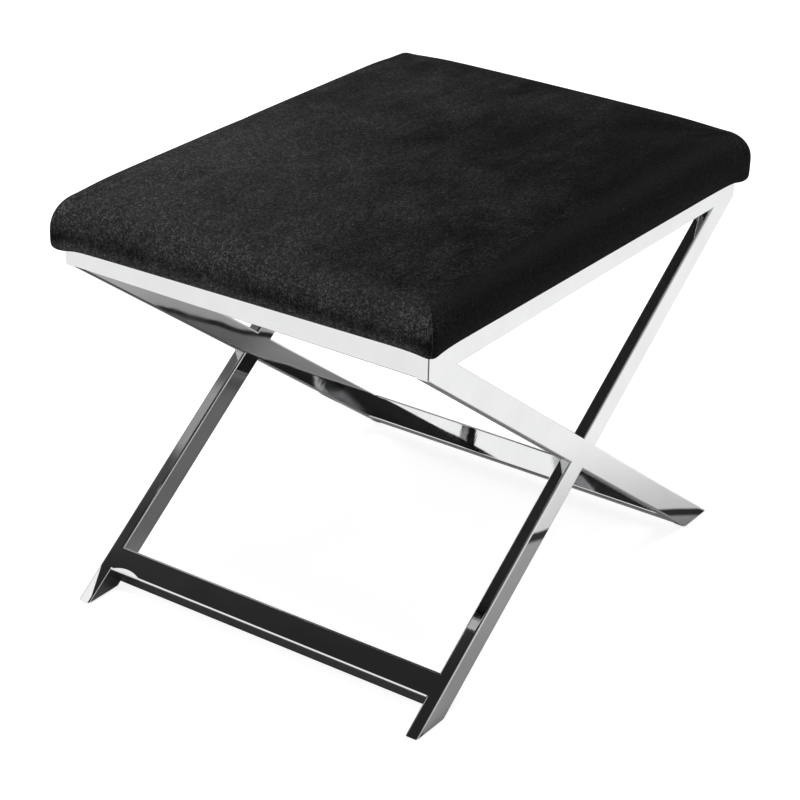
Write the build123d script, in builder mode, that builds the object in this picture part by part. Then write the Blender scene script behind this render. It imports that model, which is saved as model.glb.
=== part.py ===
"""Cross-leg stool: polished steel tube frame with an upholstered velvet seat.

Frame axes: +X to the right, +Y to the back, +Z up.  The origin is on the floor
under the middle of the stool.  The two X-shaped side frames stand at x = +/-225
and run front to back; rails and stretchers join them across the front and rear.
All sizes are millimetres.
"""

import math
import os

from build123d import *

os.makedirs("parts", exist_ok=True)

# --------------------------------------------------------------------------
# Driving dimensions
# --------------------------------------------------------------------------
FRAME_W = 450.0        # over the outer faces of the two side frames (X)
FRAME_D = 600.0        # front face to rear face (Y)
RAIL_Z = 400.0         # underside of the seat rails
TUBE_B = 30.0          # wide side of the frame tube
TUBE_T = 15.0          # narrow side of the frame tube
WALL = 1.2             # tube wall
EDGE_R = 2.5           # polished edge radius of every tube
GLIDE_H = 2.0          # floor glide thickness: the tubes are cut off at this height
STRETCHER = 30.0       # square stretcher tube
STRETCHER_S = 45.0     # foot tip to stretcher, measured along the leg

SEAT_OVER = 11.0       # seat overhang beyond the frame on each side
SEAT_H = 50.0          # seat thickness at the edge
SEAT_CORNER = 14.0     # plan corner radius of the seat
SEAT_TOP_R = 28.0      # rounding of the top edge
SEAT_LOW_R = 12.0      # rounding of the bottom edge
SEAT_LIP = 6.0         # how far the padded edge hangs below the top of the rails
LIP_GAP = 1.0          # between the lip and the outer faces of the rails
COVER_T = 2.0          # velvet with its backing
WRAP_T = 5.0           # polyester fibre wrap over the foam
WRAP_LOW = 8.0         # lower edge of the wrap above the rails
BOARD_LOW_R = 5.0      # rounding of the board's bottom edge
BOARD_T = 12.0         # plywood seat board
FLANGE_IN = 203.0      # inner edge of the cover's turned-under flange, from the X centre
DUST_T = 0.6           # non-woven dust cover

GUSSET_T = 3.0
GUSSET_LEG = 60.0
BOLT_IN = 20.0         # bolt axis from the inner corner of the rails, both ways
BOLT_D = 5.9           # M6 shank
TEE_BORE = 6.0

# --------------------------------------------------------------------------
# Derived values
# --------------------------------------------------------------------------
HALF_W = FRAME_W / 2
HALF_D = FRAME_D / 2
INNER_X = HALF_W - TUBE_T            # inner faces of the side frames
RAIL_TOP = RAIL_Z + TUBE_B
DROP = RAIL_Z - GLIDE_H
# The lower edge of a leg starts at the bottom corner of the rail; its upper edge
# ends at the foot tip, flush with the opposite end of the frame.
LEG_A = math.asin(TUBE_B / math.hypot(FRAME_D, DROP)) + math.atan2(DROP, FRAME_D)
CUT = TUBE_B / math.sin(LEG_A)       # length of the level cut across a leg
COS, SIN = math.cos(LEG_A), math.sin(LEG_A)


def strip(inset, mirror_y, extend=0.0):
    """Leg outline in (y, z): level cuts at rail underside and foot, narrowed by inset."""
    dy = inset / SIN
    ext = extend / math.tan(LEG_A)
    pts = [
        (-HALF_D + dy - ext, RAIL_Z + extend),
        (-HALF_D + CUT - dy - ext, RAIL_Z + extend),
        (HALF_D - dy + ext, GLIDE_H - extend),
        (HALF_D - CUT + dy + ext, GLIDE_H - extend),
    ]
    return [(-y, z) for y, z in pts] if mirror_y else pts


def along_foot(s, n, front):
    """Point in (y, z) at s up the leg from a foot tip and n in from its upper edge."""
    y = HALF_D - s * COS - n * SIN
    z = GLIDE_H + s * SIN - n * COS
    return (-y, z) if front else (y, z)


def stretcher_outline(front, inset=0.0):
    s0, s1 = STRETCHER_S + inset, STRETCHER_S + STRETCHER - inset
    return [
        along_foot(s0, inset, front),
        along_foot(s1, inset, front),
        along_foot(s1, STRETCHER - inset, front),
        along_foot(s0, STRETCHER - inset, front),
    ]


def save(builder, name):
    builder.part.label = name
    export_step(builder.part, f"parts/{name}.step")


# --------------------------------------------------------------------------
# Side frames: the welded and polished outline first, then its separate tubes
# --------------------------------------------------------------------------
def side_outline(side):
    """Solid outline of one X frame with its seat rail, edges already polished round."""
    x0 = INNER_X if side > 0 else -HALF_W
    with BuildPart() as env:
        with BuildSketch(Plane.YZ.offset(x0)):
            with Locations((0, RAIL_Z + TUBE_B / 2)):
                Rectangle(FRAME_D, TUBE_B)
            Polygon(*strip(0, False), align=None)
            Polygon(*strip(0, True), align=None)
        extrude(amount=TUBE_T)
        by_x = env.faces().filter_by(Axis.X).sort_by(Axis.X)
        outer, inner = (by_x[-1], by_x[0]) if side > 0 else (by_x[0], by_x[-1])
        rounded = [e for e in outer.edges() if e.center().Z > GLIDE_H + 0.1]
        for e in inner.edges():
            c = e.center()
            if c.Z < GLIDE_H + 0.1 or abs(c.Z - RAIL_TOP) < 0.1:
                continue
            if abs(abs(c.Y) - HALF_D) < 0.1 and c.Z > RAIL_Z:
                continue
            rounded.append(e)
        # bottom edge of each end of the rail, in line with the rounded edge of the cross rail
        for e in env.edges().filter_by(Axis.X):
            c = e.center()
            if abs(abs(c.Y) - HALF_D) < 0.1 and abs(c.Z - RAIL_Z) < 0.1:
                rounded.append(e)
        fillet(rounded, radius=EDGE_R)
        # Where a stretcher butts on the inner face the leg stays square, so that
        # the polished faces run on into the stretcher.
        x1 = INNER_X if side > 0 else -INNER_X - 2 * EDGE_R
        for front in (True, False):
            with BuildSketch(Plane.YZ.offset(x1)):
                s0, s1 = STRETCHER_S + EDGE_R, STRETCHER_S + STRETCHER - EDGE_R
                Polygon(
                    along_foot(s0, 0, front),
                    along_foot(s1, 0, front),
                    along_foot(s1, TUBE_B, front),
                    along_foot(s0, TUBE_B, front),
                    align=None,
                )
            extrude(amount=2 * EDGE_R)
    return env.part


for side, hand in ((1, "right"), (-1, "left")):
    outline = side_outline(side)
    x_in = INNER_X if side > 0 else -HALF_W
    x_cut = x_in - 1
    x_bore = x_in + WALL

    # Seat rail of this side, closed at both ends
    with BuildPart() as side_rail:
        add(outline)
        split(bisect_by=Plane.XY.offset(RAIL_Z), keep=Keep.TOP)
        with BuildSketch(Plane.YZ.offset(x_bore)):
            with Locations((0, RAIL_Z + TUBE_B / 2)):
                Rectangle(FRAME_D - 2 * WALL, TUBE_B - 2 * WALL)
        extrude(amount=TUBE_T - 2 * WALL, mode=Mode.SUBTRACT)
    save(side_rail, f"{hand}_side_rail")

    # Leg that runs whole from the front of the rail to the rear foot
    with BuildPart() as through_leg:
        add(outline)
        with BuildSketch(Plane.YZ.offset(x_cut)):
            Polygon(*strip(0, False), align=None)
        extrude(amount=TUBE_T + 2, mode=Mode.INTERSECT)
        with BuildSketch(Plane.YZ.offset(x_bore)):
            Polygon(*strip(WALL, False, 5), align=None)
        extrude(amount=TUBE_T - 2 * WALL, mode=Mode.SUBTRACT)
    save(through_leg, f"{hand}_through_leg")

    # Crossing leg, cut in two where it is welded to the whole one
    with BuildPart() as crossing_leg:
        add(outline)
        split(bisect_by=Plane.XY.offset(RAIL_Z), keep=Keep.BOTTOM)
        with BuildSketch(Plane.YZ.offset(x_cut)):
            Polygon(*strip(0, False, 5), align=None)
        extrude(amount=TUBE_T + 2, mode=Mode.SUBTRACT)
    halves = crossing_leg.part.solids().sort_by(Axis.Z)
    for half, where in ((halves[0], "lower"), (halves[-1], "upper")):
        with BuildPart() as half_leg:
            add(half)
            with BuildSketch(Plane.YZ.offset(x_bore)):
                Polygon(*strip(WALL, True, 5), align=None)
            extrude(amount=TUBE_T - 2 * WALL, mode=Mode.SUBTRACT)
        save(half_leg, f"{hand}_{where}_half_leg")

# --------------------------------------------------------------------------
# Cross members
# --------------------------------------------------------------------------
for sign, end in ((-1, "front"), (1, "rear")):
    # Seat rail across the end, butted between the side frames
    with BuildPart() as rail:
        with BuildSketch(Plane.YZ.offset(-INNER_X)):
            with Locations((sign * (HALF_D - TUBE_T / 2), RAIL_Z + TUBE_B / 2)):
                RectangleRounded(TUBE_T, TUBE_B, EDGE_R)
                Rectangle(TUBE_T - 2 * WALL, TUBE_B - 2 * WALL, mode=Mode.SUBTRACT)
        extrude(amount=2 * INNER_X)
    save(rail, f"{end}_rail")

    # Square stretcher low on the legs, turned to the slope of the legs
    with BuildPart() as stretcher:
        with BuildSketch(Plane.YZ.offset(-INNER_X)):
            Polygon(*stretcher_outline(sign < 0), align=None)
        extrude(amount=2 * INNER_X)
        fillet(stretcher.edges().filter_by(Axis.X), radius=EDGE_R)
        with BuildSketch(Plane.YZ.offset(-INNER_X)):
            Polygon(*stretcher_outline(sign < 0, WALL), align=None)
        extrude(amount=2 * INNER_X, mode=Mode.SUBTRACT)
    save(stretcher, f"{end}_stretcher")

# --------------------------------------------------------------------------
# Feet and seat gussets, one of each at every corner
# --------------------------------------------------------------------------
PLATE_T = 2.0
STEM_D = 5.8
STEM_H = 10.0
FOOT_Y = HALF_D - CUT / 2
FOOT_X = HALF_W - TUBE_T / 2
BOLT_X = INNER_X - BOLT_IN
BOLT_Y = HALF_D - TUBE_T - BOLT_IN
GUSSET_TOP = RAIL_TOP - DUST_T

for sx, hand in ((1, "right"), (-1, "left")):
    x_bore = INNER_X + WALL if sx > 0 else -HALF_W + WALL
    for sy, end in ((-1, "front"), (1, "rear")):
        # Plate welded inside the cut end of the leg
        with BuildPart() as foot_plate:
            with BuildSketch(Plane.YZ.offset(x_bore)):
                Polygon(*strip(WALL, sy < 0), align=None)
            extrude(amount=TUBE_T - 2 * WALL)
            split(bisect_by=Plane.XY.offset(GLIDE_H + PLATE_T), keep=Keep.BOTTOM)
            with Locations((sx * FOOT_X, sy * FOOT_Y, GLIDE_H + PLATE_T / 2)):
                Hole(radius=STEM_D / 2 + 0.1)
        save(foot_plate, f"{end}_{hand}_foot_plate")

        # Floor glide with a stem pushed into the plate
        with BuildPart() as glide:
            with BuildSketch(Plane.XY):
                with Locations((sx * FOOT_X, sy * FOOT_Y)):
                    RectangleRounded(TUBE_T - 3, CUT - 5, 4)
            extrude(amount=GLIDE_H)
            chamfer(glide.edges().group_by(Axis.Z)[0], length=0.5)
            with BuildSketch(Plane.XY.offset(GLIDE_H)):
                with Locations((sx * FOOT_X, sy * FOOT_Y)):
                    Circle(STEM_D / 2)
            extrude(amount=STEM_H)
        save(glide, f"{end}_{hand}_glide")

        # Corner gusset that the seat is bolted down to
        with BuildPart() as gusset:
            cx, cy = sx * INNER_X, sy * (HALF_D - TUBE_T)
            with BuildSketch(Plane.XY.offset(GUSSET_TOP - GUSSET_T)):
                Polygon(
                    (cx, cy),
                    (cx - sx * GUSSET_LEG, cy),
                    (cx - sx * GUSSET_LEG, cy - sy * 8),
                    (cx - sx * 8, cy - sy * GUSSET_LEG),
                    (cx, cy - sy * GUSSET_LEG),
                    align=None,
                )
            extrude(amount=GUSSET_T)
            with Locations((sx * BOLT_X, sy * BOLT_Y, GUSSET_TOP - GUSSET_T / 2)):
                Hole(radius=3.5)
        save(gusset, f"{end}_{hand}_seat_gusset")

# --------------------------------------------------------------------------
# Seat: cover, fibre wrap, foam, board, dust cover
# --------------------------------------------------------------------------
SEAT_W = FRAME_W + 2 * SEAT_OVER
SEAT_D = FRAME_D + 2 * SEAT_OVER
SEAT_TOP = RAIL_TOP + SEAT_H
BOARD_Z = RAIL_TOP + COVER_T
FOAM_Z = BOARD_Z + BOARD_T
INSET = COVER_T + WRAP_T


def profile(width, inset, lip):
    """Seat outline in an upright plane: rounded shoulders above, smaller rounding below."""
    low, high = RAIL_TOP + inset - lip, RAIL_TOP + SEAT_H - inset
    half = width / 2 - inset
    top_r, low_r = SEAT_TOP_R - inset, SEAT_LOW_R - inset
    with BuildSketch(mode=Mode.PRIVATE) as shape:
        with Locations((0, (low + high) / 2)):
            Rectangle(2 * half, high - low)
        fillet(shape.vertices().group_by(Axis.Y)[-1], radius=top_r)
        fillet(shape.vertices().group_by(Axis.Y)[0], radius=low_r)
    return shape.sketch


def cushion(inset, lip=0.0):
    """Seat envelope shrunk evenly by inset: the plan and the two upright outlines met together."""
    with BuildPart() as env:
        with BuildSketch(Plane.XY.offset(RAIL_TOP + inset - lip)):
            RectangleRounded(
                SEAT_W - 2 * inset, SEAT_D - 2 * inset, SEAT_CORNER - inset
            )
        extrude(amount=SEAT_H - 2 * inset + lip)
        with BuildSketch(Plane.YZ.offset(-SEAT_W)):
            add(profile(SEAT_D, inset, lip))
        extrude(amount=2 * SEAT_W, mode=Mode.INTERSECT)
        with BuildSketch(Plane.XZ.offset(-SEAT_D)):
            add(profile(SEAT_W, inset, lip))
        extrude(amount=2 * SEAT_D, mode=Mode.INTERSECT)
    return env.part


def board_outline():
    return RectangleRounded(
        SEAT_W - 2 * INSET, SEAT_D - 2 * INSET, SEAT_CORNER - INSET
    )


def bolt_points():
    return [(sx * BOLT_X, sy * BOLT_Y) for sx in (-1, 1) for sy in (-1, 1)]


# Staples: a crown with two legs.  Their places, as (x, y, along X?)
FLANGE_IN_Y = FLANGE_IN + HALF_D - HALF_W
DUST_X = INNER_X - 2
DUST_Y = HALF_D - TUBE_T - 2
ROW_X, ROW_Y = HALF_W - 8.5, HALF_D - 8.5
cover_places = [
    (sx * ROW_X, y, False) for sx in (-1, 1) for y in range(-260, 261, 40)
] + [(x, sy * ROW_Y, True) for sy in (-1, 1) for x in range(-180, 181, 40)]
dust_places = [
    (sx * (DUST_X - 2.5), y, False) for sx in (-1, 1) for y in range(-200, 201, 50)
] + [(x, sy * (DUST_Y - 2.5), True) for sy in (-1, 1) for x in range(-130, 131, 52)]
STAPLE_W = 10.0
WIRE = 0.6


def staples(places, crown_z, leg):
    """Staples with the underside of their crowns at crown_z and legs pointing up."""
    with BuildPart() as group:
        for x, y, level in places:
            w, d = (STAPLE_W, WIRE) if level else (WIRE, STAPLE_W)
            with Locations((x, y, crown_z)):
                Box(w, d, WIRE, align=(Align.CENTER, Align.CENTER, Align.MIN))
            for end in (-1, 1):
                o = end * (STAPLE_W - WIRE) / 2
                at = (x + o, y, crown_z + WIRE) if level else (x, y + o, crown_z + WIRE)
                with Locations(at):
                    Box(WIRE, WIRE, leg, align=(Align.CENTER, Align.CENTER, Align.MIN))
    return group


cover_staples = staples(cover_places, RAIL_TOP, 7.0)
save(cover_staples, "cover_staples")
dust_cover_staples = staples(dust_places, RAIL_TOP - DUST_T - WIRE, 7.0)
save(dust_cover_staples, "dust_cover_staples")

# Velvet cover: a shell over the top and sides with a padded lip outside the rails,
# turned under the board all round
with BuildPart() as velvet_cover:
    add(cushion(0, SEAT_LIP))
    with BuildSketch(Plane.XY.offset(RAIL_TOP - SEAT_LIP)):
        Rectangle(FRAME_W + 2 * LIP_GAP, FRAME_D + 2 * LIP_GAP)
    extrude(amount=SEAT_LIP, mode=Mode.SUBTRACT)
    add(cushion(COVER_T), mode=Mode.SUBTRACT)
    with BuildSketch(Plane.XY.offset(RAIL_TOP - 1)):
        RectangleRounded(2 * FLANGE_IN, 2 * FLANGE_IN_Y, 4)
    extrude(amount=COVER_T + 2, mode=Mode.SUBTRACT)
    add(cover_staples.part, mode=Mode.SUBTRACT)
    add(dust_cover_staples.part, mode=Mode.SUBTRACT)
save(velvet_cover, "velvet_cover")

# Fibre wrap between the cover and the foam, down over the edge of the board
with BuildPart() as fibre_wrap:
    add(cushion(COVER_T))
    split(bisect_by=Plane.XY.offset(RAIL_TOP + WRAP_LOW), keep=Keep.TOP)
    add(cushion(INSET), mode=Mode.SUBTRACT)
    with BuildSketch(Plane.XY.offset(RAIL_TOP)):
        add(board_outline())
    extrude(amount=BOARD_T + COVER_T, mode=Mode.SUBTRACT)
save(fibre_wrap, "fibre_wrap")

# Foam pad on the board, with pockets over the tee nuts
with BuildPart() as foam_pad:
    add(cushion(INSET))
    split(bisect_by=Plane.XY.offset(FOAM_Z), keep=Keep.TOP)
    with BuildSketch(Plane.XY.offset(FOAM_Z)):
        with Locations(*bolt_points()):
            Circle(11)
    extrude(amount=3, mode=Mode.SUBTRACT)
save(foam_pad, "foam_pad")

# Plywood board, bored for the tee nuts
with BuildPart() as seat_board:
    with BuildSketch(Plane.XY.offset(BOARD_Z)):
        add(board_outline())
        with Locations(*bolt_points()):
            Circle(3.9, mode=Mode.SUBTRACT)
    extrude(amount=BOARD_T)
    fillet(seat_board.faces().sort_by(Axis.Z)[0].outer_wire().edges(), radius=BOARD_LOW_R)
    add(cover_staples.part, mode=Mode.SUBTRACT)
    add(dust_cover_staples.part, mode=Mode.SUBTRACT)
save(seat_board, "seat_board")

# Dust cover under the board, inside the rails
with BuildPart() as dust_cover:
    with BuildSketch(Plane.XY.offset(RAIL_TOP - DUST_T)):
        RectangleRounded(2 * DUST_X, 2 * DUST_Y, 6)
        with Locations(*bolt_points()):
            Circle(4, mode=Mode.SUBTRACT)
    extrude(amount=DUST_T)
    add(dust_cover_staples.part, mode=Mode.SUBTRACT)
save(dust_cover, "dust_cover")

# --------------------------------------------------------------------------
# Seat fasteners: bolt and washer under each gusset, tee nut on the board
# --------------------------------------------------------------------------
WASHER_T = 1.6
SPRING_T = 1.4
HEAD_H = 4.0
HEAD_AF = 10.0
washer_z = GUSSET_TOP - GUSSET_T - WASHER_T
spring_z = washer_z - SPRING_T
head_z = spring_z - HEAD_H

with BuildPart() as washers:
    with BuildSketch(Plane.XY.offset(washer_z)):
        with Locations(*bolt_points()):
            Circle(7)
            Circle(3.2, mode=Mode.SUBTRACT)
    extrude(amount=WASHER_T)
save(washers, "flat_washers")

with BuildPart() as spring_washers:
    with BuildSketch(Plane.XY.offset(spring_z)):
        with Locations(*bolt_points()):
            Circle(5.4)
            Circle(3.1, mode=Mode.SUBTRACT)
        with Locations(*[(x + 4.2, y) for x, y in bolt_points()]):
            Rectangle(3.4, 0.8, rotation=20, mode=Mode.SUBTRACT)
    extrude(amount=SPRING_T)
save(spring_washers, "spring_washers")

with BuildPart() as bolts:
    with BuildSketch(Plane.XY.offset(head_z)):
        with Locations(*bolt_points()):
            RegularPolygon(HEAD_AF / 2, 6, major_radius=False)
    extrude(amount=HEAD_H)
    chamfer(bolts.edges().group_by(Axis.Z)[0], length=0.6)
    with BuildSketch(Plane.XY.offset(head_z + HEAD_H)):
        with Locations(*bolt_points()):
            Circle(BOLT_D / 2)
    extrude(amount=FOAM_Z + 1.0 - head_z - HEAD_H)
save(bolts, "seat_bolts")

with BuildPart() as tee_nuts:
    with BuildSketch(Plane.XY.offset(FOAM_Z)):
        with Locations(*bolt_points()):
            Circle(9.5)
    extrude(amount=1.3)
    with BuildSketch(Plane.XY.offset(FOAM_Z - 9)):
        with Locations(*bolt_points()):
            Circle(3.9)
    extrude(amount=9)
    with BuildSketch(Plane.XY.offset(FOAM_Z - 10)):
        with Locations(*bolt_points()):
            Circle(TEE_BORE / 2)
    extrude(amount=12, mode=Mode.SUBTRACT)
save(tee_nuts, "tee_nuts")
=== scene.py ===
import math

import bpy
import numpy as np
from mathutils import Matrix, Vector


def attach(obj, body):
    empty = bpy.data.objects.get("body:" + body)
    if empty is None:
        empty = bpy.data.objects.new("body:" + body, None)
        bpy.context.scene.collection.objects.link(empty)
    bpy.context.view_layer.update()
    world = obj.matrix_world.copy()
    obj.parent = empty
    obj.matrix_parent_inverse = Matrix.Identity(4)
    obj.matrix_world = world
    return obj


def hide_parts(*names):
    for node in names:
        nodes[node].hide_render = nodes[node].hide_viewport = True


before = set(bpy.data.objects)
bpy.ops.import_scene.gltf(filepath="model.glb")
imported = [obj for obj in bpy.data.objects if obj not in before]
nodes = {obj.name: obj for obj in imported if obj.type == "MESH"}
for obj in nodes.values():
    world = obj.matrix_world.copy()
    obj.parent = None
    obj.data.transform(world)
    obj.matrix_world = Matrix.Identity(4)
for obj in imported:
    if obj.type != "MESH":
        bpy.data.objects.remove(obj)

scene = bpy.context.scene
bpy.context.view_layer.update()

# --------------------------------------------------------------------------
# Camera at the photograph's viewing angle
# --------------------------------------------------------------------------
cam_data = bpy.data.cameras.new("camera")
cam_data.sensor_fit = "HORIZONTAL"
cam_data.sensor_width = 36.0
cam_data.lens = 110.024
cam_data.clip_end = 100.0
cam = bpy.data.objects.new("camera", cam_data)
scene.collection.objects.link(cam)
right = Vector((0.818363, 0.574183, 0.024440))
up = Vector((-0.272995, 0.350964, 0.895712))
back = Vector((0.505725, -0.739688, 0.443964))
turn = Matrix((right, up, back)).transposed().to_4x4()
cam.matrix_world = Matrix.Translation((1.35490, -1.99846, 1.39203)) @ turn
scene.camera = cam
scene.view_settings.view_transform = "Standard"
scene.view_settings.look = "None"


# --------------------------------------------------------------------------
# Node helpers
# --------------------------------------------------------------------------
class Mat:
    """A material under construction: its node tree, its Principled shader and object coordinates."""

    def __init__(self, name):
        self.m = bpy.data.materials.new(name)
        self.m.use_nodes = True
        self.t = self.m.node_tree
        self.t.nodes.clear()
        self.out = self.t.nodes.new("ShaderNodeOutputMaterial")
        self.b = self.t.nodes.new("ShaderNodeBsdfPrincipled")
        self.link(self.b.outputs["BSDF"], self.out.inputs["Surface"])
        self.co = self.t.nodes.new("ShaderNodeTexCoord").outputs["Object"]

    def link(self, a, b):
        self.t.links.new(a, b)

    def set(self, **values):
        for k, v in values.items():
            self.b.inputs[k.replace("_", " ")].default_value = v

    def stretch(self, scale, rotation=(0, 0, 0)):
        n = self.t.nodes.new("ShaderNodeMapping")
        n.inputs["Scale"].default_value = scale
        n.inputs["Rotation"].default_value = rotation
        self.link(self.co, n.inputs["Vector"])
        return n.outputs["Vector"]

    def noise(self, scale, detail=2.0, rough=0.5, at=None, distortion=0.0):
        n = self.t.nodes.new("ShaderNodeTexNoise")
        n.inputs["Scale"].default_value = scale
        n.inputs["Detail"].default_value = detail
        n.inputs["Roughness"].default_value = rough
        n.inputs["Distortion"].default_value = distortion
        self.link(at or self.co, n.inputs["Vector"])
        return n.outputs["Fac"]

    def cells(self, scale, feature="F1", out="Distance", at=None, random=1.0):
        n = self.t.nodes.new("ShaderNodeTexVoronoi")
        n.feature = feature
        n.inputs["Scale"].default_value = scale
        n.inputs["Randomness"].default_value = random
        self.link(at or self.co, n.inputs["Vector"])
        return n.outputs[out]

    def span(self, value, a, b, lo, hi, smooth=False):
        n = self.t.nodes.new("ShaderNodeMapRange")
        if smooth:
            n.interpolation_type = "SMOOTHSTEP"
        for key, v in (("From Min", a), ("From Max", b), ("To Min", lo), ("To Max", hi)):
            n.inputs[key].default_value = v
        self.link(value, n.inputs["Value"])
        return n.outputs["Result"]

    def math(self, op, a, b=None):
        n = self.t.nodes.new("ShaderNodeMath")
        n.operation = op
        for i, v in enumerate((a, b)):
            if v is None:
                continue
            if isinstance(v, (int, float)):
                n.inputs[i].default_value = v
            else:
                self.link(v, n.inputs[i])
        return n.outputs[0]

    def ramp(self, value, *stops):
        n = self.t.nodes.new("ShaderNodeValToRGB")
        e = n.color_ramp.elements
        while len(e) < len(stops):
            e.new(0.5)
        for el, (pos, col) in zip(e, stops):
            el.position = pos
            el.color = (*col, 1.0) if len(col) == 3 else col
        self.link(value, n.inputs["Fac"])
        return n.outputs["Color"]

    def mix(self, fac, a, b, mode="MIX"):
        n = self.t.nodes.new("ShaderNodeMix")
        n.data_type = "RGBA"
        n.blend_type = mode
        for sock, v in ((n.inputs[0], fac), (n.inputs[6], a), (n.inputs[7], b)):
            if isinstance(v, (int, float)):
                sock.default_value = v
            elif isinstance(v, tuple):
                sock.default_value = (*v, 1.0)
            else:
                self.link(v, sock)
        return n.outputs[2]

    def axis(self, which):
        n = self.t.nodes.new("ShaderNodeSeparateXYZ")
        self.link(self.co, n.inputs[0])
        return n.outputs[which]

    def attr(self, name):
        n = self.t.nodes.new("ShaderNodeAttribute")
        n.attribute_name = name
        return n.outputs["Fac"]

    def bump(self, height, distance, strength=1.0, after=None):
        n = self.t.nodes.new("ShaderNodeBump")
        n.inputs["Strength"].default_value = strength
        n.inputs["Distance"].default_value = distance
        self.link(height, n.inputs["Height"])
        if after is not None:
            self.link(after, n.inputs["Normal"])
        return n.outputs["Normal"]

    def lean(self, normal, towards, amount):
        part = self.t.nodes.new("ShaderNodeVectorMath")
        part.operation = "SCALE"
        part.inputs[0].default_value = towards
        self.link(amount, part.inputs["Scale"])
        both = self.t.nodes.new("ShaderNodeVectorMath")
        both.operation = "ADD"
        self.link(normal, both.inputs[0])
        self.link(part.outputs["Vector"], both.inputs[1])
        unit = self.t.nodes.new("ShaderNodeVectorMath")
        unit.operation = "NORMALIZE"
        self.link(both.outputs["Vector"], unit.inputs[0])
        return unit.outputs["Vector"]


def grey(v):
    return (v, v, v)


# --------------------------------------------------------------------------
# Materials
# --------------------------------------------------------------------------
def polished_steel():
    k = Mat("polished_steel")
    k.set(Metallic=1.0)
    # slow unevenness left by the polishing wheel, then hairlines along the buffing
    slow = k.noise(11.0, 1.0, 0.4)
    n = k.bump(slow, 0.0006, 1.0)
    hair = k.noise(260.0, 3.0, 0.6, at=k.stretch((1.0, 0.16, 0.16)))
    n = k.bump(hair, 0.000012, 1.0, after=n)
    # the weld at the crossing has drawn the upper front leg of the left frame into a slight twist
    x, y, z = k.axis("X"), k.axis("Y"), k.axis("Z")
    along = k.span(y, -0.17, -0.03, 0.14, 0.0)
    across = k.math("SUBTRACT", z, k.span(y, -0.3, 0.0, 0.3962, 0.2132))
    leg = k.math("MULTIPLY", k.span(x, -0.206, -0.205, 0.14, 0.0), k.span(z, 0.19, 0.2, 0.0, 1.0))
    leg = k.math("MULTIPLY", leg, k.span(z, 0.399, 0.3998, 1.0, 0.0))
    twist = k.math("MULTIPLY", k.math("MULTIPLY", along, across), leg)
    n = k.bump(twist, 1.0, 1.0, after=n)
    # the front foot of that frame and the end of the stretcher beside it are ground off at a slight slope after welding
    fy, fz = k.math("ADD", y, 0.3), k.math("SUBTRACT", z, 0.002)
    up = k.math("ADD", k.math("MULTIPLY", fy, 0.8096), k.math("MULTIPLY", fz, 0.587))
    face = k.math("SUBTRACT", k.math("MULTIPLY", fz, 0.8096), k.math("MULTIPLY", fy, 0.587))
    foot = k.math("SUBTRACT", k.math("ADD", k.math("MULTIPLY", x, -3.4), -0.7104), up)
    foot = k.math("MULTIPLY", k.span(foot, 0.0, 0.004, 0.0, 1.0, True), k.span(up, 0.044, 0.048, 1.0, 0.0, True))
    arch = k.math("MULTIPLY", k.math("ADD", x, 0.189), 44.44)
    arch = k.math("SUBTRACT", 0.052, k.math("MULTIPLY", k.math("MULTIPLY", arch, arch), 0.007))
    end = k.span(k.math("SUBTRACT", arch, up), 0.0, 0.001, 0.0, 1.0, True)
    end = k.math("MULTIPLY", end, k.span(x, -0.2105, -0.2095, 0.0, 1.0))
    ground = k.math("MULTIPLY", k.math("ADD", foot, end), k.span(face, -0.0009, -0.0004, 0.0, 1.0))
    n = k.lean(n, (0.0, -0.187, -0.1355), ground)
    k.link(n, k.b.inputs["Normal"])
    smear = k.noise(19.0, 6.0, 0.62, distortion=0.4)
    shine = k.ramp(smear, (0.25, (0.6, 0.602, 0.606)), (0.8, (0.55, 0.552, 0.556)))
    # the rails meet in a ground joint at each upright corner, which stays duller than the faces
    out = k.math("ADD", k.math("ABSOLUTE", x), k.math("ABSOLUTE", y))
    joint = k.span(out, 0.52335, 0.52345, 0.0, 1.0)
    # painted shade: the inner faces of the upper legs are darkened, standing for the shade they mirror
    inner_shade = k.math("MULTIPLY", k.span(k.math("ABSOLUTE", x), 0.2102, 0.2112, 1.0, 0.0), k.span(z, 0.18, 0.22, 0.0, 0.43))
    inner_shade = k.math("MULTIPLY", inner_shade, k.span(z, 0.396, 0.3995, 1.0, 0.0))
    shine = k.mix(inner_shade, shine, grey(0.0))
    k.link(k.mix(joint, shine, grey(0.07)), k.b.inputs["Base Color"])
    k.link(k.math("ADD", k.span(smear, 0.35, 0.75, 0.022, 0.06), k.math("MULTIPLY", joint, 0.3)), k.b.inputs["Roughness"])
    return k.m


def ground_steel():
    k = Mat("ground_steel")
    k.set(Metallic=1.0)
    grit = k.noise(420.0, 4.0, 0.6, at=k.stretch((1.0, 0.06, 1.0), (0, 0, 0.6)))
    blotch = k.noise(38.0, 5.0, 0.6)
    k.link(k.span(grit, 0.3, 0.7, 0.28, 0.46), k.b.inputs["Roughness"])
    k.link(k.mix(blotch, (0.42, 0.42, 0.43), (0.6, 0.6, 0.61)), k.b.inputs["Base Color"])
    k.link(k.bump(grit, 0.00004), k.b.inputs["Normal"])
    return k.m


def zinc_plate(name, low, high, rough):
    k = Mat(name)
    k.set(Metallic=1.0)
    cloud = k.noise(150.0, 4.0, 0.6)
    k.link(k.mix(cloud, low, high), k.b.inputs["Base Color"])
    k.link(k.span(cloud, 0.3, 0.7, rough, rough + 0.16), k.b.inputs["Roughness"])
    k.link(k.bump(k.noise(900.0, 2.0), 0.00003), k.b.inputs["Normal"])
    return k.m


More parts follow.
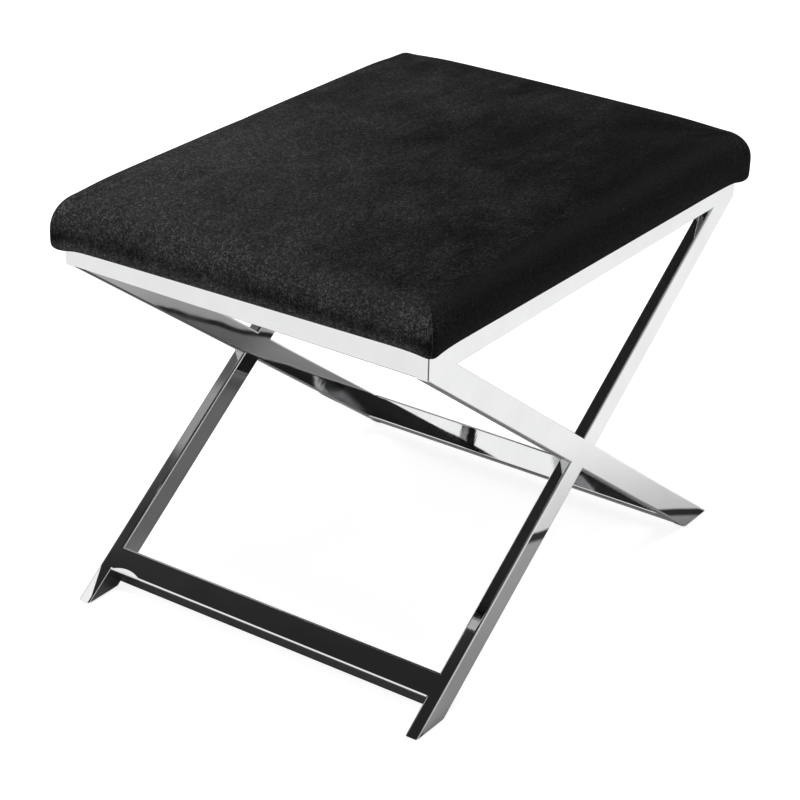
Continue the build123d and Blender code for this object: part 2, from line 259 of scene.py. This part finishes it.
def moulded_nylon():
    k = Mat("moulded_nylon")
    grain = k.noise(1100.0, 3.0, 0.6)
    cloud = k.noise(60.0, 3.0)
    k.link(k.ramp(cloud, (0.3, grey(0.045)), (0.75, grey(0.075))), k.b.inputs["Base Color"])
    k.link(k.span(grain, 0.3, 0.7, 0.42, 0.6), k.b.inputs["Roughness"])
    k.link(k.bump(grain, 0.00006), k.b.inputs["Normal"])
    return k.m


def plywood():
    k = Mat("plywood")
    # layers across the thickness, grain along the length
    plies = k.t.nodes.new("ShaderNodeTexWave")
    plies.wave_type = "BANDS"
    plies.bands_direction = "Z"
    plies.inputs["Scale"].default_value = 66.0
    plies.inputs["Distortion"].default_value = 0.5
    k.link(k.co, plies.inputs["Vector"])
    grain = k.noise(90.0, 6.0, 0.65, at=k.stretch((1.0, 0.05, 1.0)))
    wood = k.ramp(grain, (0.25, (0.44, 0.29, 0.15)), (0.6, (0.63, 0.46, 0.27)), (0.85, (0.72, 0.56, 0.36)))
    k.link(k.mix(k.span(plies.outputs["Fac"], 0.3, 0.7, 0.0, 0.35), wood, (0.33, 0.2, 0.1)), k.b.inputs["Base Color"])
    k.set(Roughness=0.75)
    k.link(k.bump(grain, 0.0002), k.b.inputs["Normal"])
    return k.m


def foam():
    k = Mat("foam")
    pores = k.cells(700.0)
    k.link(k.ramp(pores, (0.0, (0.46, 0.4, 0.24)), (0.5, (0.74, 0.68, 0.47))), k.b.inputs["Base Color"])
    k.set(Roughness=0.95)
    k.link(k.bump(pores, 0.0008), k.b.inputs["Normal"])
    return k.m


def wadding():
    k = Mat("wadding")
    fibre = k.noise(240.0, 6.0, 0.7, distortion=2.0)
    k.link(k.ramp(fibre, (0.3, grey(0.62)), (0.7, grey(0.85))), k.b.inputs["Base Color"])
    k.set(Roughness=1.0)
    k.link(k.bump(fibre, 0.001), k.b.inputs["Normal"])
    return k.m


def velvet():
    k = Mat("velvet")
    # short pile: fine tufts, brushed patches, and a few pale specks of lint
    tuft = k.math("ADD", k.math("MULTIPLY", k.noise(760.0, 3.0, 0.65), 0.7), k.math("MULTIPLY", k.cells(640.0, out="Color"), 0.3))
    clump = k.noise(210.0, 3.0, 0.6)
    brushed = k.noise(8.0, 4.0, 0.55, distortion=0.8)
    streak = k.noise(40.0, 4.0, 0.6, at=k.stretch((1.0, 0.4, 1.0)))
    patch = k.math("ADD", k.math("MULTIPLY", brushed, 0.45), k.math("MULTIPLY", streak, 0.55))
    # painted light and shade: the attribute read here, blended with random brushed patches, picks between a shaded and
    # a lit ramp of pile colour
    shade = k.math("ADD", k.attr("painted_light"), k.span(patch, 0.3, 0.7, -0.34, 0.34))
    # pile combed down the sides
    shade = k.math("ADD", shade, k.span(k.noise(330.0, 2.0, 0.5, at=k.stretch((1.0, 1.0, 0.1))), 0.3, 0.7, -0.16, 0.16))
    dark = k.ramp(tuft, (0.34, grey(0.0004)), (0.5, grey(0.0022)), (0.68, grey(0.009)))
    lit = k.ramp(tuft, (0.3, grey(0.005)), (0.5, grey(0.023)), (0.68, grey(0.082)))
    col = k.mix(k.span(shade, 0.0, 1.0, 0.0, 1.0), dark, lit)
    col = k.mix(k.span(clump, 0.36, 0.62, 0.4, 0.0), col, grey(0.0025))
    # painted sheen along the rounded top edge
    col = k.mix(k.span(k.attr("edge"), 0.0, 1.0, 0.0, 0.2), col, grey(0.028))
    parted = k.math("MULTIPLY", k.attr("seam"), k.span(tuft, 0.36, 0.62, 0.1, 1.0))
    col = k.mix(k.math("MULTIPLY", parted, 0.8), col, grey(0.1))
    raised = k.math("MULTIPLY", k.span(tuft, 0.5, 0.68, 0.0, 0.85), k.attr("rub"))
    col = k.mix(raised, col, grey(0.085))
    lint = k.math("MULTIPLY", k.span(k.cells(95.0), 0.05, 0.085, 1.0, 0.0), k.span(k.noise(33.0, 2.0), 0.55, 0.66, 0.0, 1.0))
    col = k.mix(k.math("MULTIPLY", lint, 0.5), col, grey(0.12))
    k.link(col, k.b.inputs["Base Color"])
    k.link(k.span(clump, 0.3, 0.7, 0.86, 1.0), k.b.inputs["Roughness"])
    k.set(Specular_IOR_Level=0.04, Sheen_Weight=0.012, Sheen_Roughness=0.5, Sheen_Tint=(0.85, 0.85, 0.87, 1.0))
    n = k.bump(tuft, 0.0006, 0.7)
    n = k.bump(clump, 0.0008, 0.5, after=n)
    k.link(n, k.b.inputs["Normal"])
    return k.m


def non_woven():
    k = Mat("non_woven_cloth")
    fibre = k.noise(520.0, 5.0, 0.7, distortion=1.5)
    # pressed dot pattern of spun-bonded cloth
    dots = k.cells(620.0, random=0.0, at=k.stretch((1.0, 1.0, 0.0)))
    press = k.span(dots, 0.18, 0.3, 0.0, 1.0, True)
    k.link(k.mix(fibre, grey(0.004), grey(0.013)), k.b.inputs["Base Color"])
    k.link(k.span(press, 0.0, 1.0, 0.55, 0.9), k.b.inputs["Roughness"])
    n = k.bump(press, 0.00018)
    n = k.bump(fibre, 0.00025, 0.6, after=n)
    k.link(n, k.b.inputs["Normal"])
    return k.m


STEEL = polished_steel()
GROUND = ground_steel()
ZINC = zinc_plate("zinc_plate", (0.52, 0.53, 0.55), (0.68, 0.69, 0.71), 0.22)
WIRE = zinc_plate("staple_wire", (0.5, 0.5, 0.5), (0.66, 0.66, 0.66), 0.25)
NYLON = moulded_nylon()
PLY = plywood()
FOAM = foam()
WADDING = wadding()
VELVET = velvet()
CLOTH = non_woven()


def finish_of(name):
    if name.endswith(("_side_rail", "_leg", "_rail", "_stretcher")):
        return STEEL
    if name.endswith(("_foot_plate", "_seat_gusset")):
        return GROUND
    if name.endswith("_glide"):
        return NYLON
    return {
        "seat_bolts": ZINC,
        "spring_washers": ZINC,
        "flat_washers": ZINC,
        "tee_nuts": ZINC,
        "cover_staples": WIRE,
        "dust_cover_staples": WIRE,
        "seat_board": PLY,
        "foam_pad": FOAM,
        "fibre_wrap": WADDING,
        "velvet_cover": VELVET,
        "dust_cover": CLOTH,
    }[name]


for name, ob in nodes.items():
    if not ob.material_slots:
        ob.data.materials.append(None)
    for slot in ob.material_slots:
        slot.material = finish_of(name)


# --------------------------------------------------------------------------
# Velvet seat: cloth box with sewn corners over foam
# --------------------------------------------------------------------------
MM = 0.001
FRAME_X, FRAME_Y, RAIL_TOP = 225.0, 300.0, 430.0
WIDEST = 11.2           # overhang at the fullest height
WIDEST_Z = 448.0
EDGE_Z = 480.6          # where the rounding meets the top
SHOULDER = 2.0          # how much lower the top is at the corners
CORNER_R = 7.0          # plan radius of the corners at the fullest height
TAPER = 2.6             # how much the sides pull in below their fullest height
ROUND_X = 29.0          # how far the rounding reaches in over the top
BOW = 1.6               # how much higher the top edge is in the middle of a side than at its ends
CROWN = 3.4
CORNER = 15.0           # stretch of a side that belongs to the rounded corner
LIP_R = 4.0
# height of the lower edge at the corners, keyed by the signs of x and y
HEM = {(-1, -1): 420.6, (1, -1): 429.2, (1, 1): 422.4, (-1, 1): 421.6}
# how much lower the hem hangs at the corner tips, and over what length
TIP = {(-1, -1): (3.8, 15.0), (1, -1): (1.2, 7.0), (1, 1): (4.4, 15.0), (-1, 1): (4.0, 15.0)}
# how the filling sits in each corner: height of the fullest line, extra overhang, radius of the lip, length it spreads
FILL = {(-1, -1): (438.0, 0.9, 6.8, 40.0), (1, -1): (448.0, 0.0, 4.0, 22.0), (1, 1): (444.0, 1.4, 6.0, 40.0), (-1, 1): (441.0, 1.0, 6.5, 40.0)}


def spread(half):
    """Positions along a side from -half to half, close together near the corners."""
    d = [0.0, 0.7, 1.5, 2.6, 4.2, 6.5, 9.5, 13.5, 18.5, 25.0, 33.0, 42.0, 52.0]
    rest = half - d[-1]
    n = math.ceil(rest / 11.5)
    d += [d[-1] + rest * (i + 1) / n for i in range(n)]
    ahead = [half - v for v in d]
    return np.array([-v for v in ahead] + ahead[-2::-1])


LX, LY = FRAME_X + WIDEST, FRAME_Y + WIDEST
XS, YS = spread(LX), spread(LY)
NX, NY = len(XS), len(YS)


def hem_at(x, y):
    u, v = (x / LX + 1) / 2, (y / LY + 1) / 2
    front = HEM[-1, -1] * (1 - u) + HEM[1, -1] * u
    rear = HEM[-1, 1] * (1 - u) + HEM[1, 1] * u
    fall, reach = TIP[1 if x > 0 else -1, 1 if y > 0 else -1]
    return front * (1 - v) + rear * v - fall * near_corner(x, y, reach)


def near_corner(x, y, reach):
    return np.exp(-(((LX - np.abs(x)) / reach) ** 2)) * np.exp(-(((LY - np.abs(y)) / reach) ** 2))


def on_side(p, long, wide, rc):
    """Point of a rounded rectangle's side: p along it, as (along, out)."""
    half_long, half_wide = long, wide
    length = LX if long < wide else LY
    d = length - abs(p)
    if d < CORNER:
        a = math.radians(45.0) * (1 - d / CORNER)
        return math.copysign(half_long - rc + rc * math.sin(a), p), half_wide - rc + rc * math.cos(a)
    return p * (half_long - rc) / (length - CORNER), half_wide


def loop(over, rc):
    """One level of the cushion in plan, counter-clockwise from the front left corner."""
    ax, by = FRAME_X + over, FRAME_Y + over
    pts = []
    for x in XS[:-1]:
        a, o = on_side(x, ax, by, rc)
        pts.append((a, -o))
    for y in YS[:-1]:
        a, o = on_side(y, by, ax, rc)
        pts.append((o, a))
    for x in XS[:0:-1]:
        a, o = on_side(x, ax, by, rc)
        pts.append((a, o))
    for y in YS[:0:-1]:
        a, o = on_side(y, by, ax, rc)
        pts.append((-o, a))
    return np.array(pts)


def cushion_rows():
    """Rows of points from the edge of the top, down the side, round the lip and in under the board."""
    rows = []
    plan = loop(WIDEST, 0.001)
    hem = np.array([hem_at(x, y) for x, y in plan])
    corner = [FILL[1 if x > 0 else -1, 1 if y > 0 else -1] for x, y in plan]
    near = np.array([near_corner(x, y, f[3]) for (x, y), f in zip(plan, corner)])
    full_z = WIDEST_Z + near * np.array([f[0] - WIDEST_Z for f in corner])
    extra = near * np.array([f[1] for f in corner])
    lip = LIP_R + near * np.array([f[2] - LIP_R for f in corner])
    bow = BOW * (1 - np.minimum(np.abs(plan[:, 0]) / LX, np.abs(plan[:, 1]) / LY) ** 2)
    top = EDGE_Z + bow - SHOULDER * near_corner(plan[:, 0], plan[:, 1], 40.0)
    taper = TAPER * (1 - 0.85 * near)
    full = loop(WIDEST, CORNER_R)
    inner = loop(WIDEST - 10.0, CORNER_R)
    inward = (inner - full) / 10.0
    for a in np.radians([4, 12, 20, 28, 36, 44, 52, 60, 68, 76, 83, 90]):
        over = WIDEST - ROUND_X * (1 - math.sin(a) ** 0.94)
        rc = 6.0 + (CORNER_R - 6.0) * math.sin(a) ** 2
        p = loop(over, rc) - inward * (extra * math.sin(a) ** 2)[:, None]
        rows.append(np.c_[p, full_z + (top - full_z) * math.cos(a)])
    low = hem + lip
    for u in (0.14, 0.28, 0.42, 0.56, 0.7, 0.84, 1.0):
        p = full + inward * (taper * u**2.4 - extra)[:, None]
        rows.append(np.c_[p, full_z + (low - full_z) * u])
    for a in np.radians([25, 50, 75, 100, 130]):
        # the turned-in lip stays outside the rails where it hangs below their top
        turn = np.minimum(taper + lip * (1 - math.cos(a)) - extra, WIDEST - 1.9)
        rows.append(np.c_[full + inward * turn[:, None], low - lip * math.sin(a)])
    p = loop(1.6, 4.0)
    rows.append(np.c_[p, np.maximum(hem + 2.0, RAIL_TOP - 2.5)])
    for over, rc in ((0.6, 3.0), (-4.0, 3.0), (-12.0, 3.0), (-21.5, 3.0)):
        p = loop(over, rc)
        rows.append(np.c_[p, np.full(len(p), RAIL_TOP + 0.15)])
    return rows


def build_cushion():
    rows = cushion_rows()
    n = len(rows[0])
    verts = list(np.vstack(rows))
    faces = []
    for r in range(len(rows) - 1):
        for i in range(n):
            j = (i + 1) % n
            faces.append((r * n + i, (r + 1) * n + i, (r + 1) * n + j, r * n + j))
    # top: a grid whose border is the first row
    first = rows[0]
    x_of = first[:NX - 1, 0].tolist() + [first[NX - 1, 0]]
    y_of = first[NX - 1:NX + NY - 2, 1].tolist() + [first[NX + NY - 2, 1]]
    border = {}
    for i in range(NX - 1):
        border[i, 0] = i
        border[NX - 1 - i, NY - 1] = NX - 1 + NY - 1 + i
    for j in range(NY - 1):
        border[NX - 1, j] = NX - 1 + j
        border[0, NY - 1 - j] = 2 * (NX - 1) + NY - 1 + j
    ids = {}
    for i in range(NX):
        for j in range(NY):
            if (i, j) in border:
                ids[i, j] = border[i, j]
                continue
            x, y = x_of[i], y_of[j]
            u, v = abs(x) / x_of[-1], abs(y) / y_of[-1]
            drop = SHOULDER * math.exp(-(((x_of[-1] - abs(x)) / 40.0) ** 2) - ((y_of[-1] - abs(y)) / 40.0) ** 2)
            z = rows[0][:, 2].max() - BOW * min(u, v) ** 2 - drop + CROWN * ((1 - u**2.4) * (1 - v**2.4)) ** 0.75
            ids[i, j] = len(verts)
            verts.append(np.array((x, y, z)))
    for i in range(NX - 1):
        for j in range(NY - 1):
            faces.append((ids[i, j], ids[i + 1, j], ids[i + 1, j + 1], ids[i, j + 1]))
    v = np.array(verts)
    me = bpy.data.meshes.new("velvet_seat")
    me.from_pydata((v * MM).tolist(), [], faces)
    me.update()
    ob = bpy.data.objects.new("velvet_seat", me)
    scene.collection.objects.link(ob)
    return ob, len(rows), n


seat, ROWS, LOOP = build_cushion()
corner_at = [0, NX - 1, NX - 1 + NY - 1, 2 * (NX - 1) + NY - 1]


def co_of(ob):
    a = np.empty(len(ob.data.vertices) * 3)
    ob.data.vertices.foreach_get("co", a)
    return a.reshape(-1, 3)


def put_co(ob, a):
    ob.data.vertices.foreach_set("co", np.ascontiguousarray(a).ravel())
    ob.data.update()


def normals_of(ob):
    a = np.empty(len(ob.data.vertices) * 3)
    ob.data.vertex_normals.foreach_get("vector", a)
    return a.reshape(-1, 3)


def settle(ob):
    """Let the cover settle over its filling: a slightly smaller copy is blown up against its stapled lower edge."""
    shape = co_of(ob)
    inset = np.minimum(LX - np.abs(shape[:, 0]) / MM, LY - np.abs(shape[:, 1]) / MM) - ROUND_X
    inset = np.clip(inset / 80.0, 0.0, 1.0)
    draw_in = 0.3 + 1.9 * inset * inset * (3 - 2 * inset)
    for r in range(12, ROWS):
        draw_in[r * LOOP:(r + 1) * LOOP] = 0.3 * max(0.0, 1 - (r - 11) / 6.0)
    held = [i for i in range(len(shape)) if 17 * LOOP <= i < ROWS * LOOP]
    cloth = bpy.data.objects.new("settling", ob.data.copy())
    scene.collection.objects.link(cloth)
    put_co(cloth, shape - normals_of(ob) * (draw_in * MM)[:, None])
    cloth.vertex_groups.new(name="stapled").add(held, 1.0, "REPLACE")
    mod = cloth.modifiers.new("cloth", "CLOTH")
    mod.settings.mass = 0.3
    mod.settings.quality = 6
    mod.settings.use_pressure = True
    mod.settings.uniform_pressure_force = 0.4
    mod.settings.tension_stiffness = mod.settings.compression_stiffness = 400.0
    mod.settings.shear_stiffness = 150.0
    mod.settings.bending_stiffness = 3.0
    mod.settings.vertex_group_mass = "stapled"
    mod.settings.effector_weights.gravity = 0.0
    mod.collision_settings.use_collision = False
    mod.collision_settings.use_self_collision = False
    mod.point_cache.frame_start, mod.point_cache.frame_end = 1, 20
    for f in range(1, 21):
        scene.frame_set(f)
    grown = cloth.evaluated_get(bpy.context.evaluated_depsgraph_get()).to_mesh()
    end = np.empty(len(shape) * 3)
    grown.vertices.foreach_get("co", end)
    move = end.reshape(-1, 3) - shape
    far = np.linalg.norm(move, axis=1)
    limit = 3.0 * MM
    put_co(ob, shape + move * (limit * np.tanh(far / limit) / np.maximum(far, 1e-9))[:, None])
    worn = cloth.data
    bpy.data.objects.remove(cloth)
    bpy.data.meshes.remove(worn)
    scene.frame_set(1)


settle(seat)

# Corner seams: a narrow valley between two soft ridges, from the lip up over the shoulder
v = co_of(seat)
seam = np.zeros(len(v))
offset = {-4: 0.1, -3: 0.2, -2: 0.15, -1: -0.2, 0: -0.6, 1: -0.2, 2: 0.15, 3: 0.2, 4: 0.1}
for r in range(4, ROWS - 6):
    fade = min(1.0, (r - 3) / 5.0)
    for c in corner_at:
        mid = v[r * LOOP + c]
        out = np.array((np.sign(mid[0]), np.sign(mid[1]), 0.0)) / math.sqrt(2)
        for k, push in offset.items():
            i = r * LOOP + (c + k) % LOOP
            v[i] += out * push * fade * MM
            worn = 0.35 + 0.65 * math.exp(-(((mid[2] / MM - 462.0) / 13.0) ** 2))
            seam[i] = max(seam[i], fade * worn * math.exp(-((k / 1.5) ** 2)))
put_co(seat, v)

# painted sheen: a lighter band along the rounding of the top edge
edge = np.zeros(len(v))
for r in range(0, 12):
    edge[r * LOOP:(r + 1) * LOOP] = math.exp(-(((r - 4) / 3.0) ** 2))
# painted light and shade: lighter on the ends, dark on the long sides, lighter towards the front left of the top
at_x, at_y = v[:, 0] / 0.236, v[:, 1] / 0.31
end = (LY - np.abs(v[:, 1]) / MM) - (LX - np.abs(v[:, 0]) / MM) < 0.2
flat = np.abs(normals_of(seat)[:, 2]) ** np.where(end, 2.0, 6.0)
# darker in the middle of the top
centre_dim = np.exp(-((v[:, 0] - 0.03) ** 2 + (v[:, 1] - 0.06) ** 2) / 0.0095)
painted_light = flat * (0.4 - 0.35 * at_x - 0.28 * at_y + 0.06 * at_x * at_y - 0.17 * centre_dim) + (1 - flat) * np.where(end, 0.97, -0.25)
# painted shade: a darker band across the lower part of the sides
for r, dim in ((8, 0.05), (9, 0.14), (10, 0.28), (11, 0.45), (12, 0.58), (13, 0.62), (14, 0.58), (15, 0.46), (16, 0.28), (17, 0.1)):
    painted_light[r * LOOP:(r + 1) * LOOP] -= dim
# painted shade: darker low down at the corners
low = 1 / (1 + np.exp((v[:, 2] / MM - 447.0) / 3.0))
painted_light -= 0.45 * low * near_corner(v[:, 0] / MM, v[:, 1] / MM, 26.0)
# fibres rubbed up beside the corner seams
rub = near_corner(v[:, 0] / MM, v[:, 1] / MM, 34.0) * np.where(end, 1.0, 0.3)
rub *= np.exp(-(((v[:, 2] / MM - 463.0) / 11.0) ** 2))
for key, values in (("seam", seam), ("edge", edge), ("rub", rub), ("painted_light", np.clip(painted_light, -0.25, 1.0))):
    a = seat.data.attributes.new(key, "FLOAT", "POINT")
    a.data.foreach_set("value", values)
for p in seat.data.polygons:
    p.use_smooth = True
seat.data.materials.append(VELVET)
sub = seat.modifiers.new("round", "SUBSURF")
sub.levels = sub.render_levels = 1
shell = seat.modifiers.new("cloth", "SOLIDIFY")
shell.thickness = 1.4 * MM
shell.offset = -1.0
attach(seat, "root")
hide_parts("velvet_cover")



# --------------------------------------------------------------------------
# Fibre wrap: wadding between foam and velvet, the seat's own shape drawn in
# --------------------------------------------------------------------------
def build_wrap():
    v = co_of(seat)
    n = normals_of(seat)
    keep = [i for i in range(len(v)) if i < 16 * LOOP or i >= ROWS * LOOP]
    ids = {k: j for j, k in enumerate(keep)}
    loft = 0.25 * np.sin(v[:, 0] * 410.0) * np.sin(v[:, 1] * 370.0 + 0.7)
    sharp = near_corner(v[:, 0] / MM, v[:, 1] / MM, 26.0)
    pts = v - n * ((2.6 + loft + 3.4 * sharp) * MM)[:, None]
    faces = [tuple(ids[i] for i in p.vertices) for p in seat.data.polygons if all(i in ids for i in p.vertices)]
    me = bpy.data.meshes.new("wadding_wrap")
    me.from_pydata(pts[keep].tolist(), [], faces)
    me.update()
    ob = bpy.data.objects.new("wadding_wrap", me)
    scene.collection.objects.link(ob)
    for p in me.polygons:
        p.use_smooth = True
    me.materials.append(WADDING)
    th = ob.modifiers.new("loft", "SOLIDIFY")
    th.thickness = 3.2 * MM
    th.offset = -1.0
    return ob


wrap = build_wrap()
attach(wrap, "root")
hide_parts("fibre_wrap")

# --------------------------------------------------------------------------
# Dust cover: non-woven cloth stapled up round its edge
# --------------------------------------------------------------------------
def build_dust():
    hx, hy = 208.0, 283.0
    nx, ny = 85, 115
    verts, faces = [], []
    for j in range(ny):
        for i in range(nx):
            x = -hx + 2 * hx * i / (nx - 1)
            y = -hy + 2 * hy * j / (ny - 1)
            dx, dy = hx - abs(x), hy - abs(y)
            inside = min(1.0, max(0.0, (min(dx, dy) - 6) / 70.0))
            corner = min(1.0, max(0.0, (dx + dy - 75) / 60.0))
            s = inside * inside * (3 - 2 * inside) * corner
            ripple = 0.5 * math.sin(x * 0.031 + 0.6 * math.sin(y * 0.017)) + 0.4 * math.sin(y * 0.043 + 1.3)
            z = RAIL_TOP - 0.25 - s * (2.4 + 0.8 * ripple)
            verts.append((x * MM, y * MM, z * MM))
    for j in range(ny - 1):
        for i in range(nx - 1):
            a = j * nx + i
            faces.append((a, a + nx, a + nx + 1, a + 1))
    me = bpy.data.meshes.new("dust_cloth")
    me.from_pydata(verts, [], faces)
    me.update()
    ob = bpy.data.objects.new("dust_cloth", me)
    scene.collection.objects.link(ob)
    for p in me.polygons:
        p.use_smooth = True
    me.materials.append(CLOTH)
    th = ob.modifiers.new("thickness", "SOLIDIFY")
    th.thickness = 0.35 * MM
    th.offset = 0.0
    return ob


dust = build_dust()
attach(dust, "root")
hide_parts("dust_cover")


# --------------------------------------------------------------------------
# Floor and light
# --------------------------------------------------------------------------
def build_floor():
    me = bpy.data.meshes.new("floor")
    s = 14.0
    me.from_pydata([(-s, -s, 0), (s, -s, 0), (s, s, 0), (-s, s, 0)], [], [(0, 1, 2, 3)])
    ob = bpy.data.objects.new("floor", me)
    scene.collection.objects.link(ob)
    k = Mat("floor_paper")
    k.link(k.mix(k.noise(3.0, 3.0), grey(0.48), grey(0.52)), k.b.inputs["Base Color"])
    k.set(Roughness=0.9, Specular_IOR_Level=0.1, Emission_Color=(1.0, 1.0, 1.0, 1.0), Emission_Strength=0.8)
    me.materials.append(k.m)
    ob.visible_glossy = False
    return ob


def build_mirrored_floor():
    """The floor as the polish shows it: white paper in the studio light with a painted glow, a grey round board under
    the stool, and painted shade round the board.
    """
    rings, steps = [0.0, 0.1, 0.2, 0.3, 0.362, 0.38, 0.45, 0.55, 0.68, 1.2, 2.4, 5.0, 14.0], 128
    verts, faces = [(0, 0, 0.0006)], []
    for r in rings[1:]:
        for i in range(steps):
            a = 2 * math.pi * i / steps
            verts.append((r * math.cos(a), r * math.sin(a), 0.0006))
    for i in range(steps):
        faces.append((0, 1 + i, 1 + (i + 1) % steps))
    for k in range(len(rings) - 2):
        for i in range(steps):
            a, b = 1 + k * steps + i, 1 + k * steps + (i + 1) % steps
            faces.append((a, a + steps, b + steps, b))
    me = bpy.data.meshes.new("mirrored_floor")
    me.from_pydata(verts, [], faces)
    ob = bpy.data.objects.new("mirrored_floor", me)
    scene.collection.objects.link(ob)
    k = Mat("mirrored_paper")
    x, y = k.axis("X"), k.axis("Y")
    r = k.math("SQRT", k.math("ADD", k.math("MULTIPLY", x, x), k.math("MULTIPLY", y, y)))
    board = k.mix(k.noise(5.0, 3.0), grey(0.5), grey(0.56))
    # deep shade close under the front stretcher
    near = k.math("MULTIPLY", k.span(y, -0.2, -0.23, 0.0, 0.8, True), k.span(k.math("ABSOLUTE", x), 0.2, 0.24, 1.0, 0.0, True))
    board = k.mix(near, board, grey(0.02))
    # painted shade: a dark ring at the edge of the board stands for its shaded rim
    board = k.mix(k.span(r, 0.362, 0.368, 0.0, 1.0), board, grey(0.05))
    # painted shade: the paper is a little darker close round the board
    paper = k.mix(k.span(r, 0.38, 0.6, 0.0, 1.0, True), grey(0.84), grey(0.9))
    k.link(k.mix(k.span(r, 0.379, 0.384, 0.0, 1.0), board, paper), k.b.inputs["Base Color"])
    k.set(Roughness=0.9, Specular_IOR_Level=0.1, Emission_Color=(1.0, 1.0, 1.0, 1.0))
    # painted light: the paper glows, brighter towards the back right, and its glow fades towards the board as painted
    # shade
    glow = k.span(k.math("ADD", x, y), -1.6, 1.4, 0.28, 0.48, True)
    glow = k.math("MULTIPLY", glow, k.span(r, 0.379, 0.384, 0.0, 1.0))
    k.link(k.math("MULTIPLY", glow, k.span(r, 0.379, 0.6, 0.45, 1.0, True)), k.b.inputs["Emission Strength"])
    me.materials.append(k.m)
    ob.visible_camera = False
    ob.visible_diffuse = False
    ob.visible_shadow = False
    return ob


build_floor()
build_mirrored_floor()


def area(name, at, to, size, power, size_y=None):
    d = bpy.data.lights.new(name, "AREA")
    d.energy = power
    d.size = size
    if size_y:
        d.shape = "RECTANGLE"
        d.size_y = size_y
    ob = bpy.data.objects.new(name, d)
    scene.collection.objects.link(ob)
    ob.location = at
    ob.rotation_euler = (Vector(to) - Vector(at)).to_track_quat("-Z", "Y").to_euler()
    return ob


key = area("key", (-2.4, -3.3, 2.6), (0, 0, 0.35), 2.2, 24)
overhead = area("overhead", (0.0, -0.5, 3.8), (0.0, -0.5, 0), 2.4, 110)
# their shape stays out of the polish, which mirrors the studio round them instead
key.visible_glossy = False
overhead.visible_glossy = False


def build_world():
    """White walls, a bright screen front left, a ceiling that is lit at the back and dark at the front."""
    world = bpy.data.worlds.new("studio")
    scene.world = world
    world.use_nodes = True
    t = world.node_tree
    t.nodes.clear()
    out = t.nodes.new("ShaderNodeOutputWorld")
    bg = t.nodes.new("ShaderNodeBackground")
    co = t.nodes.new("ShaderNodeTexCoord").outputs["Generated"]
    xyz = t.nodes.new("ShaderNodeSeparateXYZ")
    t.links.new(co, xyz.inputs[0])

    def span(value, a, b, lo, hi):
        n = t.nodes.new("ShaderNodeMapRange")
        n.interpolation_type = "SMOOTHSTEP"
        for i, key in enumerate(("From Min", "From Max", "To Min", "To Max")):
            n.inputs[key].default_value = (a, b, lo, hi)[i]
        t.links.new(value, n.inputs["Value"])
        return n.outputs["Result"]

    def mix(fac, a, b):
        n = t.nodes.new("ShaderNodeMix")
        n.data_type = "FLOAT"
        for sock, v in ((n.inputs[0], fac), (n.inputs[2], a), (n.inputs[3], b)):
            if isinstance(v, (int, float)):
                sock.default_value = v
            else:
                t.links.new(v, sock)
        return n.outputs[0]

    ceiling = span(xyz.outputs["Y"], -0.31, 0.05, 0.03, 0.55)
    tone = mix(span(xyz.outputs["Z"], 0.12, 0.5, 0.0, 1.0), 1.0, ceiling)
    aim = t.nodes.new("ShaderNodeVectorMath")
    aim.operation = "DOT_PRODUCT"
    aim.inputs[1].default_value = (-0.55, -0.68, 0.485)
    t.links.new(co, aim.inputs[0])
    tone = mix(span(aim.outputs["Value"], 0.9, 0.97, 0.0, 1.0), tone, 1.45)
    pane = t.nodes.new("ShaderNodeVectorMath")
    pane.operation = "DOT_PRODUCT"
    pane.inputs[1].default_value = (-0.57, -0.217, 0.7925)
    t.links.new(co, pane.inputs[0])
    tone = mix(span(pane.outputs["Value"], 0.99975, 1.0, 0.0, 1.0), tone, 0.5)
    t.links.new(tone, bg.inputs["Color"])
    t.links.new(bg.outputs["Background"], out.inputs["Surface"])


build_world()

bpy.context.view_layer.update()
